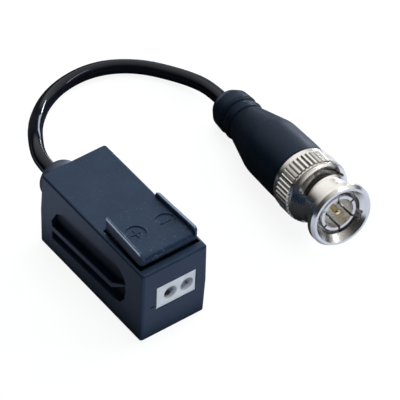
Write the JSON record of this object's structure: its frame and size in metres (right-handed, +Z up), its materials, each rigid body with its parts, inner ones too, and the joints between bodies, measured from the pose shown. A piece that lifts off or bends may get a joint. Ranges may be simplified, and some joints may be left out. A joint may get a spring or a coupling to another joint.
{
  "type": "cctv video balun",
  "caption": "Small black video balun box with a push-button two-way wire terminal at the front and a short coaxial pigtail ending in a moulded bayonet plug.",
  "frame": {"origin": "middle of the box's base, on the surface it stands on", "axes": "+X across the box to the right, seen from the terminal end; +Y from the terminal to the cable end; +Z up"},
  "size_m": [0.0582, 0.075, 0.0223],
  "materials": {
    "case_plastic": "fine moulded texture, matt black",
    "button_plastic": "fine moulded texture, matt black",
    "white_plastic": "smooth moulded white nylon",
    "spring_steel": "rolled spring strip",
    "tinned_brass": "tinned strip",
    "board_laminate": "green solder mask",
    "ferrite": "sintered ferrite",
    "enamelled_copper": "enamelled copper wire",
    "chip_ceramic": "ceramic with metal ends",
    "component_epoxy": "dipped epoxy",
    "soft_vinyl": "soft black vinyl",
    "cable_jacket": "glossy black vinyl jacket",
    "lead_insulation": "thin wire insulation",
    "boot_vinyl": "matt black moulded vinyl",
    "nickel_plate": "bright nickel plate",
    "white_insulator": "white insulator",
    "gilt_brass": "thin gold plate",
    "seal_rubber": "soft rubber"
  },
  "bodies": {
    "housing": {"upper_shell": "case_plastic", "lower_shell": "case_plastic", "terminal_block": "white_plastic", "clamp_spring_left": "spring_steel", "clamp_spring_right": "spring_steel", "wire_contact_left": "tinned_brass", "wire_contact_right": "tinned_brass", "circuit_board": "board_laminate", "toroid_core": "ferrite", "line_winding": "enamelled_copper", "coax_winding": "enamelled_copper", "matching_capacitors": "chip_ceramic", "matching_resistors": "chip_ceramic", "surge_suppressor": "component_epoxy", "cable_gland": "soft_vinyl", "pigtail_cable": "cable_jacket", "core_lead": "lead_insulation", "shield_lead": "lead_insulation", "plug_boot": "boot_vinyl", "plug_body": "nickel_plate", "dielectric": "white_insulator", "centre_pin": "gilt_brass", "face_gasket": "seal_rubber", "spring_washer": "spring_steel", "crimp_ferrule": "nickel_plate"},
    "button": {"press_button": "button_plastic"},
    "nut": {"coupling_nut": "nickel_plate", "retaining_ring": "spring_steel"}
  },
  "joints": [
    {"name": "button_press", "type": "slide", "parent": "housing", "child": "button", "axis": [0, 0, -1], "range_m": [0, 0.002], "stiffness_N_per_m": 900, "springref_m": -0.0005, "deforming": ["clamp_spring_left", "clamp_spring_right"]},
    {"name": "nut_turn", "type": "hinge", "parent": "housing", "child": "nut", "pos_m": [0.0412, -0.013, 0.00969], "axis": [-0.1026, -0.9844, 0.1426], "continuous": true}
  ]
}
